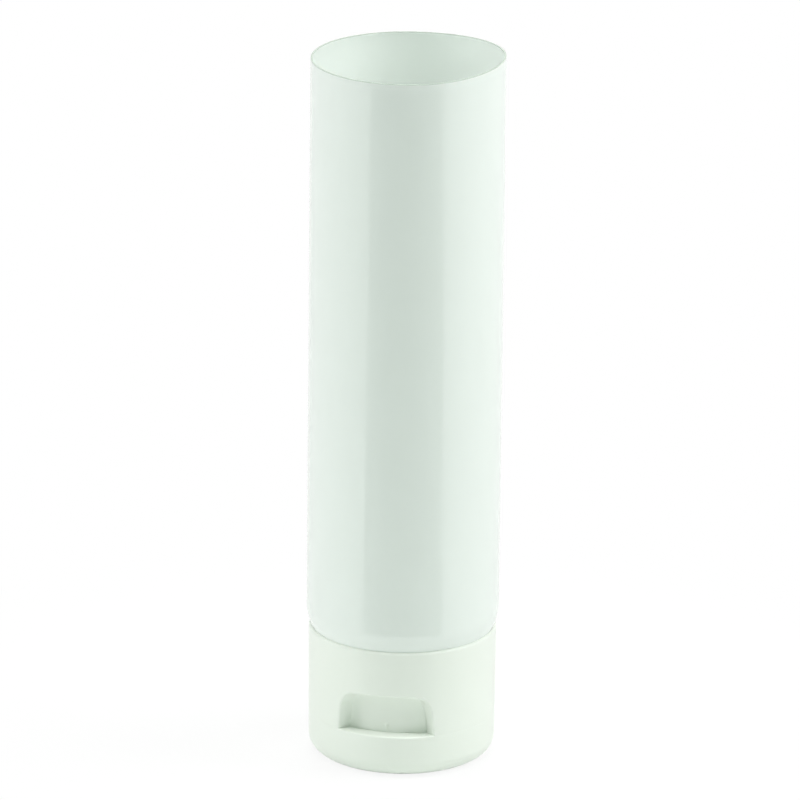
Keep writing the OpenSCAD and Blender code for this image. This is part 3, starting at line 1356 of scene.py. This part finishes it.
    def add_ribs(self, patches: Patchwork) -> None:
        """Adds the ribs between snap ring and skirt as blocks that run into both.

        Args:
            patches: Where the blocks go.
        """
        cap = self.cap
        deck_z = cap.parting_z + cap.plate
        lap = self.rib_lap
        near = self.neck_r + self.neck_fit + cap.ring_wall - lap
        far = float(cap.radius(deck_z)) - cap.wall + lap
        half = self.rib_t / 2
        face = np.array(((near, -half), (far, -half), (far, half), (near, half)))
        for step in range(self.rib_count):
            turn = math.radians(180.0 + (step - (self.rib_count - 1) / 2) * self.rib_pitch)
            x = face[:, 0] * math.sin(turn) + face[:, 1] * math.cos(turn)
            y = face[:, 1] * math.sin(turn) - face[:, 0] * math.cos(turn)
            low = np.column_stack((x, y, np.full(4, deck_z - lap)))
            patches.add_block(low, low + (0.0, 0.0, self.rib_h + lap))

    def build(self) -> bpy.types.Object:
        """Builds and dresses the base.

        Returns:
            The base.
        """
        patches = Patchwork()
        outer, inner = self.skins()
        border, angle = outer.add_to(patches)
        lining, _ = inner.add_to(patches)
        patches.add(self.rim(angle), ring=True)
        patches.add(self.underside(border, lining), ring=True)
        self.add_ribs(patches)
        piece = patches.piece("cap_base_shell")
        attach(piece, Body.TUBE.value)
        dress(piece, CAP_SATIN, Slot.CAP, "cap_base")
        return piece


@dataclass(frozen=True)
class CapLid:
    """The lid that the tube stands on: cup with a rounded edge, ledge and sealing pin.

    Attributes:
        cap: Form of the cap.
        rim_z: Height of the lid's rim.
        edge_r: Radius of the standing edge.
        lip: Rounding of the rim.
        ledge_lip: Rounding of the rim where the thumb lifts it.
        pin_r: Radius of the sealing pin.
        pin_top_z: Height of the pin's end.
        pin_tip: Length of the pin's tapered end.
        pin_tip_r: Radius of the pin's end.
        gusset_t: Thickness of the gussets at the pin's foot.
        gusset_w: Reach of the gussets.
        gusset_top_z: Height of the gussets.
        gusset_count: Number of gussets.
        gusset_lap: Distance that the gussets run into the plate and the pin.
    """

    cap: CapForm
    rim_z: float
    edge_r: float = 4.4
    lip: float = 0.025
    ledge_lip: float = 0.4
    pin_r: float = 2.2
    pin_top_z: float = 10.6
    pin_tip: float = 1.0
    pin_tip_r: float = 1.1
    gusset_t: float = 1.0
    gusset_w: float = 3.0
    gusset_top_z: float = 7.2
    gusset_count: int = 4
    gusset_lap: float = 0.3

    COLUMNS = 360
    LIP_STEPS = 6
    WALL_STEPS = 6
    # Radius at which the plate's rows round the pin start
    PLATE_ROW_R = 8.8
    # Angles from the front between which the rounding under the recess dies out
    LEDGE_FADE = (math.radians(25.6), math.radians(32))

    def columns(self) -> Array:
        """Angles of the columns: even steps, and the ends of the ledge and of the hinge's flat.

        Returns:
            Angles in rising order.
        """
        cap = self.cap
        ledge_end = math.acos(cap.ledge_back / cap.inner_r)
        ends = np.array((ledge_end, -ledge_end, math.pi - cap.flat_end, cap.flat_end - math.pi))
        even = np.linspace(-math.pi, math.pi, self.COLUMNS, endpoint=False)
        return np.unique(np.concatenate((even, ends)))

    def grid(self) -> Array:
        """The lid's section turned about the axis, from the middle of its standing face to the pin's end.

        The ledge's rows run in to a straight line in front and lie on the inner wall elsewhere. The rim's
        rounding grows under the recess, and the outside is cut back behind the hinge.

        Returns:
            Grid of points.
        """
        cap = self.cap
        angle = self.columns()[None, :]
        flat = 0.0 * angle
        corner_r = float(cap.radius(self.edge_r)) - self.edge_r
        outer = np.concatenate((
            line((0.0, 0.0), (corner_r, 0.0), 6),
            arc(corner_r, self.edge_r, self.edge_r, -90, 0, 18)[1:],
        ))
        under_recess = 1.0 - smooth_step(*self.LEDGE_FADE, np.abs(angle))
        lip = self.lip + (self.ledge_lip - self.lip) * under_recess
        turn = np.radians(np.linspace(0.0, 90.0, self.LIP_STEPS + 1))[:, None]
        rim_r = float(cap.radius(self.rim_z))
        rise = np.linspace(0.0, 1.0, self.WALL_STEPS + 1)[1:-1, None]
        wall_z = self.edge_r + rise * (self.rim_z - lip - self.edge_r)
        lip_r = rim_r - lip * (1.0 - np.cos(turn))
        lip_z = self.rim_z - lip * (1.0 - np.sin(turn))
        ledge = straight_fronted(cap.inner_r, cap.ledge_back, angle)
        ledge_z = self.rim_z - cap.plate
        bend_r = self.edge_r - cap.plate
        inner = np.concatenate((
            line((cap.inner_r, ledge_z), (cap.inner_r, self.edge_r), 3),
            arc(cap.inner_r - bend_r, self.edge_r, bend_r, 0, -90, 10)[1:],
            line((self.PLATE_ROW_R, cap.plate), (self.pin_r, cap.plate), 4),
            line((self.pin_r, self.pin_top_z - self.pin_tip), (self.pin_tip_r, self.pin_top_z), 3),
            line((0.0, self.pin_top_z), (0.0, self.pin_top_z)),
        ))
        radii = (outer[:, :1], cap.radius(wall_z), lip_r, ledge, ledge, inner[:, :1])
        heights = (outer[:, 1:], wall_z, lip_z, self.rim_z, ledge_z, inner[:, 1:])
        radius = np.concatenate([part + flat for part in radii])
        height = np.concatenate([part + flat for part in heights])
        return around(cap.clear_hinge(radius, angle, height), angle, height)

    def add_gussets(self, patches: Patchwork) -> None:
        """Adds the wedges between the plate and the pin, run a little into both.

        Args:
            patches: Where the wedges go.
        """
        lap = self.gusset_lap
        foot = self.cap.plate
        near = self.pin_r - lap
        far = self.pin_r + self.gusset_w
        side = np.array(((near, foot - lap), (far, foot - lap), (far, foot), (near, self.gusset_top_z)))
        for step in range(self.gusset_count):
            turn = (2 * step + 1) * math.pi / self.gusset_count
            along = np.array((math.sin(turn), -math.cos(turn)))
            across = np.array((math.cos(turn), math.sin(turn))) * self.gusset_t / 2
            middle = np.column_stack((side[:, :1] * along, side[:, 1]))
            offset = np.append(across, 0.0)
            patches.add_block(middle - offset, middle + offset)

    def build(self) -> bpy.types.Object:
        """Builds and dresses the lid.

        Returns:
            The lid.
        """
        patches = Patchwork()
        patches.add(self.grid(), ring=True)
        self.add_gussets(patches)
        piece = patches.piece("cap_lid_shell")
        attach(piece, Body.LID.value)
        dress(piece, CAP_SATIN, Slot.CAP, "cap_lid")
        return piece


@dataclass(frozen=True)
class HingeFilm:
    """The film that joins base and lid, looped round the hinge axis.

    Attributes:
        cap: Form of the cap.
        half_width: Half the film's width.
        outer_r: Outer radius of its loop.
        thickness: Thickness of the film.
        lap: Length of each leg inside the wall.
    """

    cap: CapForm
    half_width: float
    outer_r: float
    thickness: float = 0.28
    lap: float = 0.3

    LOOP_STEPS = 24
    WIDTH_STEPS = 12

    def sides(self) -> Array:
        """Inner and outer line of the loop: straight legs and half a circle round the hinge axis.

        Returns:
            Points (y, z) of both lines.
        """
        cap = self.cap
        foot_y = cap.hinge_flat - self.lap
        lines = []
        for radius in (self.outer_r - self.thickness, self.outer_r):
            bend = arc(cap.hinge_y, cap.parting_z, radius, 90, -90, self.LOOP_STEPS)
            upper = line((foot_y, cap.parting_z + radius), (cap.hinge_y, cap.parting_z + radius), 3)[:-1]
            lower = line((cap.hinge_y, cap.parting_z - radius), (foot_y, cap.parting_z - radius), 3)[1:]
            lines.append(np.concatenate((upper, bend, lower)))
        return np.stack(lines)

    def build(self) -> bpy.types.Object:
        """Builds and dresses the film, which loops from the base to the lid.

        Returns:
            The film.
        """
        sides = self.sides()
        x = np.linspace(-self.half_width, self.half_width, self.WIDTH_STEPS + 1)
        broad = np.empty((2, len(x), sides.shape[1], 3))
        broad[..., 0] = x[None, :, None]
        broad[..., 1:] = sides[:, None]
        patches = Patchwork()
        for grid in (broad[0], broad[1], broad[:, 0], broad[:, -1], broad[:, :, 0], broad[:, :, -1]):
            patches.add(grid)
        piece = patches.piece("hinge_film")
        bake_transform(piece)
        dress(piece, CAP_SATIN, Slot.CAP, "living_hinge")
        return piece


@dataclass(frozen=True)
class SoftLamp:
    """A large soft lamp that faces the tube's axis.

    Attributes:
        name: Name of the lamp.
        turn: Angle from the camera's side, in degrees; positive is to the right.
        distance: Distance from the tube's axis, in metres.
        height: Height of its middle, in metres.
        aim: Height of the point of the axis that it faces, in metres.
        size: Width and height, in metres.
        radiance: Brightness of its face; 1 shows as white.
        mirrored: Whether glossy surfaces mirror it.
    """

    name: str
    turn: float
    distance: float
    height: float
    aim: float
    size: tuple[float, float]
    radiance: float
    mirrored: bool = False


HIGH_SOFTBOX = SoftLamp(
    name="left_softbox", turn=-90.0, distance=0.6, height=0.7, aim=0.09, size=(0.5, 0.5), radiance=1.6
)
LOW_SOFTBOX = SoftLamp(
    name="left_low_softbox", turn=-90.0, distance=1.2, height=0.42, aim=0.1, size=(0.55, 0.75), radiance=3.7
)
OVERHEAD_SOFTBOX = SoftLamp(
    name="overhead_softbox", turn=0.0, distance=0.42, height=1.6, aim=0.09, size=(1.0, 1.0), radiance=3.45,
    mirrored=True,
)


@dataclass(frozen=True)
class Studio:
    """Camera, floor, flag that paints a dark reflection, lamps and world.

    Attributes:
        turn: Angle of the camera round the tube, from the front towards +X, in degrees.
        distance: Distance of the camera from the axis.
        height: Height of the camera.
        pitch: Angle that it looks down, in degrees.
        yaw: Angle that it is turned to the left of the axis, in degrees.
        roll: Angle that it is turned about its own line of sight, in degrees.
        focal_px: Focal length in pixels of the image.
        image_px: Width of the image in pixels.
        sensor: Width of the sensor.
        clip: Nearest and farthest distance that the camera sees, in metres.
        fill_light: Colour of the soft fill from the camera's side.
        rest_light: Colour of the light from the rest of the room.
        fill_turn: Angle of the fill's middle from the camera's side, in degrees.
        fill_spread: Cosines of the angles from its middle at which the fill starts and is full.
        floor_half: Half the floor's width, in metres.
        floor_colour: Colour of the floor.
        floor_glow: Share of the floor's white that does not depend on the light, close to the tube.
        floor_fade: Distances from the tube at which that share starts to rise and is full, in metres.
        follower_y: Place on the lid of the point that the floor sinks with, in metres.
        flag_span: Inner and outer radius of the flag in front, a dark card that paints a dark reflection in
            the sleeve, in metres.
        flag_lift: Height of the flag above the floor, in metres.
        flag_half_angle: Half the angle that the flag takes, in degrees.
        flag_soft: Angle over which its edges fade, in degrees.
        painted_reflection_colour: Colour of the flag, the painted dark reflection.
        lamps: The lamps.
    """

    turn: float = 10.9
    distance: float = 1935.768
    height: float = 738.81
    pitch: float = 18.396
    yaw: float = 0.038
    roll: float = 0.623
    focal_px: float = 7930.43
    image_px: float = 800.0
    sensor: float = 36.0
    clip: tuple[float, float] = (0.1, 20.0)
    fill_light: Colour = (0.460, 0.556, 0.486)
    rest_light: Colour = (0.02, 0.02, 0.02)
    fill_turn: float = -3.0
    fill_spread: tuple[float, float] = (0.45, 0.85)
    floor_half: float = 3.0
    floor_colour: Colour = (0.90, 0.92, 0.90)
    floor_glow: float = 0.86
    floor_fade: tuple[float, float] = (0.03, 0.16)
    follower_y: float = -0.044
    flag_span: tuple[float, float] = (0.09, 1.1)
    flag_lift: float = 0.0008
    flag_half_angle: float = 45.0
    flag_soft: float = 1.2
    painted_reflection_colour: Colour = (0.05, 0.055, 0.05)
    lamps: tuple[SoftLamp, ...] = (
        HIGH_SOFTBOX,
        LOW_SOFTBOX,
        replace(HIGH_SOFTBOX, name="right_softbox", turn=90.0, radiance=5.7),
        replace(LOW_SOFTBOX, name="right_low_softbox", turn=70.0, radiance=0.7),
        replace(HIGH_SOFTBOX, name="back_softbox", turn=180.0, radiance=4.2),
        OVERHEAD_SOFTBOX,
    )

    FLAG_STEPS = (48, 8)

    def add_camera(self) -> None:
        """Adds the camera: its axes are pitched, yawed and rolled, then turned round the tube."""
        pitch, yaw, roll = (math.radians(angle) for angle in (self.pitch, self.yaw, self.roll))
        level = Vector((-math.sin(yaw), math.cos(yaw), 0.0))
        right = Vector((math.cos(yaw), math.sin(yaw), 0.0))
        high = Vector((0.0, 0.0, 1.0))
        forward = math.cos(pitch) * level - math.sin(pitch) * high
        up = math.sin(pitch) * level + math.cos(pitch) * high
        image_right = math.cos(roll) * right + math.sin(roll) * up
        image_up = math.cos(roll) * up - math.sin(roll) * right
        facing = Matrix((image_right, image_up, -forward)).transposed().to_4x4()
        spot = Matrix.Translation(Vector((0.0, -self.distance, self.height)) * MM)
        data = bpy.data.cameras.new("camera")
        data.sensor_width = self.sensor
        data.lens = self.focal_px / self.image_px * self.sensor
        data.clip_start, data.clip_end = self.clip
        camera = bpy.data.objects.new("camera", data)
        camera.matrix_world = Matrix.Rotation(math.radians(self.turn), 4, "Z") @ spot @ facing
        bpy.context.scene.collection.objects.link(camera)
        bpy.context.scene.camera = camera

    def add_lamp(self, lamp: SoftLamp) -> None:
        """Adds a lamp whose face has the radiance asked for: its power is pi times area times radiance.

        Args:
            lamp: The lamp.
        """
        data = bpy.data.lights.new(lamp.name, "AREA")
        data.shape = "RECTANGLE"
        data.size, data.size_y = lamp.size
        data.energy = math.pi * lamp.size[0] * lamp.size[1] * lamp.radiance
        angle = math.radians(self.turn + lamp.turn)
        spot = Vector((math.sin(angle) * lamp.distance, -math.cos(angle) * lamp.distance, lamp.height))
        placed = bpy.data.objects.new(lamp.name, data)
        placed.location = spot
        placed.rotation_euler = (spot - Vector((0.0, 0.0, lamp.aim))).to_track_quat("Z", "Y").to_euler()
        placed.visible_camera = False
        placed.visible_glossy = lamp.mirrored
        bpy.context.scene.collection.objects.link(placed)

    def set_world(self) -> None:
        """Sets the world: white where it is seen or mirrored, and a plain level of light elsewhere."""
        world = bpy.data.worlds.new("studio_room")
        bench = blank_bench(world)
        seen = self.seen_ray(bench)
        facing = bench.place("ShaderNodeVectorMath", operation="DOT_PRODUCT")
        bench.feed(facing.inputs[0], bench.place("ShaderNodeTexCoord").outputs["Generated"])
        angle = math.radians(self.turn + self.fill_turn)
        facing.inputs[1].default_value = (math.sin(angle), -math.cos(angle), 0.0)
        fall = bench.ramp(facing.outputs["Value"], *self.fill_spread)
        unseen = bench.mix(fall, opaque(self.rest_light), opaque(self.fill_light))
        colour = bench.mix(seen, unseen, opaque(WHITE))
        light = bench.place("ShaderNodeBackground", Color=colour, Strength=1.0)
        bench.place("ShaderNodeOutputWorld", Surface=light.outputs[0])
        bpy.context.scene.world = world

    def seen_ray(self, bench: NodeBench) -> bpy.types.NodeSocket:
        """Tells rays that come from the camera, a mirror or glass from the rest.

        Args:
            bench: Where the nodes are placed.

        Returns:
            1 for those rays, 0 for the rest.
        """
        rays = bench.place("ShaderNodeLightPath").outputs
        direct = bench.calculate("MAXIMUM", rays["Is Camera Ray"], rays["Is Glossy Ray"])
        return bench.calculate("MAXIMUM", direct, rays["Is Transmission Ray"])

    def floor_material(self) -> bpy.types.Material:
        """White floor that keeps a soft shadow, and lets the view through from below.

        Returns:
            The material.
        """
        made = bpy.data.materials.new("pale_floor")
        bench = blank_bench(made)
        matt = bench.place("ShaderNodeBsdfDiffuse", Color=opaque(self.floor_colour))
        glow = bench.place("ShaderNodeEmission", Color=opaque(WHITE), Strength=1.0)
        away = bench.place("ShaderNodeVectorMath", operation="LENGTH")
        bench.feed(away.inputs[0], bench.place("ShaderNodeTexCoord").outputs["Object"])
        fade = bench.ramp(away.outputs["Value"], *self.floor_fade, self.floor_glow, 1.0)
        share = bench.calculate("MULTIPLY", self.seen_ray(bench), fade)
        lit = bench.mix_shaders(share, matt.outputs[0], glow.outputs[0])
        clear = bench.place("ShaderNodeBsdfTransparent")
        below = bench.place("ShaderNodeNewGeometry").outputs["Backfacing"]
        bench.place("ShaderNodeOutputMaterial", Surface=bench.mix_shaders(below, lit, clear.outputs[0]))
        return made

    def flag_material(self) -> bpy.types.Material:
        """Dark card whose sides fade out, a painted dark reflection, so that its edges mirror softly in the
        sleeve.

        Returns:
            The material.
        """
        made = bpy.data.materials.new("flag_painted_dark_reflection")
        bench = blank_bench(made)
        place = bench.place("ShaderNodeTexCoord").outputs["UV"]
        share = bench.place("ShaderNodeSeparateXYZ", Vector=place).outputs["X"]
        off = bench.calculate("ABSOLUTE", bench.calculate("MULTIPLY_ADD", share, 2.0, -1.0))
        fade = bench.ramp(off, 1.0 - self.flag_soft / self.flag_half_angle, 1.0)
        card = bench.place("ShaderNodeBsdfDiffuse", Color=opaque(self.painted_reflection_colour))
        clear = bench.place("ShaderNodeBsdfTransparent")
        mixed = bench.mix_shaders(fade, card.outputs[0], clear.outputs[0])
        bench.place("ShaderNodeOutputMaterial", Surface=mixed)
        return made

    def add_stage(self) -> None:
        """Adds the floor and the flag, which sink with the lid so that it has room to open."""
        half = self.floor_half
        mesh = bpy.data.meshes.new("floor")
        corners = np.array(((-half, -half, 0.0), (half, -half, 0.0), (half, half, 0.0), (-half, half, 0.0)))
        mesh.from_pydata(corners.tolist(), [], [(0, 1, 2, 3)])
        mesh.materials.append(self.floor_material())
        floor = bpy.data.objects.new("floor", mesh)
        flag = bpy.data.objects.new("flag", self.flag_mesh())
        # The flag is seen only in reflections: a painted dark reflection that shades neither the floor nor
        # the tube
        flag.visible_camera = False
        flag.visible_shadow = False
        flag.visible_diffuse = False
        follower = bpy.data.objects.new("floor_follower", None)
        follower.location = (0.0, self.follower_y, 0.0)
        for made in (floor, flag, follower):
            bpy.context.scene.collection.objects.link(made)
        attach(follower, Body.LID.value)
        flag.parent = floor
        sink = floor.constraints.new("COPY_LOCATION")
        sink.target = follower
        sink.use_x = sink.use_y = False

    def flag_mesh(self) -> bpy.types.Mesh:
        """The flag: a sector of a ring just above the floor, with its angle as U and its radius as V.

        Returns:
            The mesh, in metres.
        """
        u, v = np.meshgrid(*(np.linspace(0.0, 1.0, steps + 1) for steps in self.FLAG_STEPS))
        turn = np.radians(self.turn + (2 * u - 1) * self.flag_half_angle)
        radius = self.flag_span[0] + v * (self.flag_span[1] - self.flag_span[0])
        grid = around(radius, turn, np.full_like(turn, self.flag_lift))
        quads = grid_quads(*u.shape)
        mesh = bpy.data.meshes.new("flag")
        mesh.from_pydata(grid.reshape(-1, 3).tolist(), [], quads.tolist())
        layer = mesh.uv_layers.new(name="span")
        uv = np.stack((u, v), axis=-1).reshape(-1, 2)[quads.ravel()]
        layer.data.foreach_set("uv", uv.astype(np.float32).ravel())
        mesh.materials.append(self.flag_material())
        return mesh

    def build(self) -> None:
        """Sets up the whole studio."""
        self.add_camera()
        self.set_world()
        for lamp in self.lamps:
            self.add_lamp(lamp)
        self.add_stage()
        bpy.context.scene.view_settings.view_transform = "Standard"


def main() -> None:
    """Builds."""
    logging.basicConfig(level=logging.INFO, format="%(name)s %(message)s")
    tube_low, tube_high = (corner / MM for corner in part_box("tube"))
    base_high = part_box("cap_base")[1] / MM
    lid_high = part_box("cap_lid")[1] / MM
    film_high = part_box("living_hinge")[1] / MM
    hinge = Vector(frame["joints"][0]["pos_m"]) / MM
    cap = CapForm(rim_r=base_high.x, height=base_high.z, parting_z=hinge.z, hinge_y=hinge.y)
    tube = Tube(radius=tube_high.x, top_z=tube_high.z, neck_end_z=tube_low.z, cap=cap)
    bore_r = tube.neck_r - tube.neck_wall
    base = CapBase(cap=cap, foot_z=lid_high.z + SEAM, neck_r=tube.neck_r, neck_bore_r=bore_r)
    lid = CapLid(cap=cap, rim_z=lid_high.z)
    film = HingeFilm(cap=cap, half_width=film_high.x, outer_r=film_high.z - hinge.z)
    for part in (tube, base, lid, film):
        piece = part.build()
        log.info("%s: %d faces", piece.name, len(piece.data.polygons))
    Studio().build()


if __name__ == "__main__":
    main()
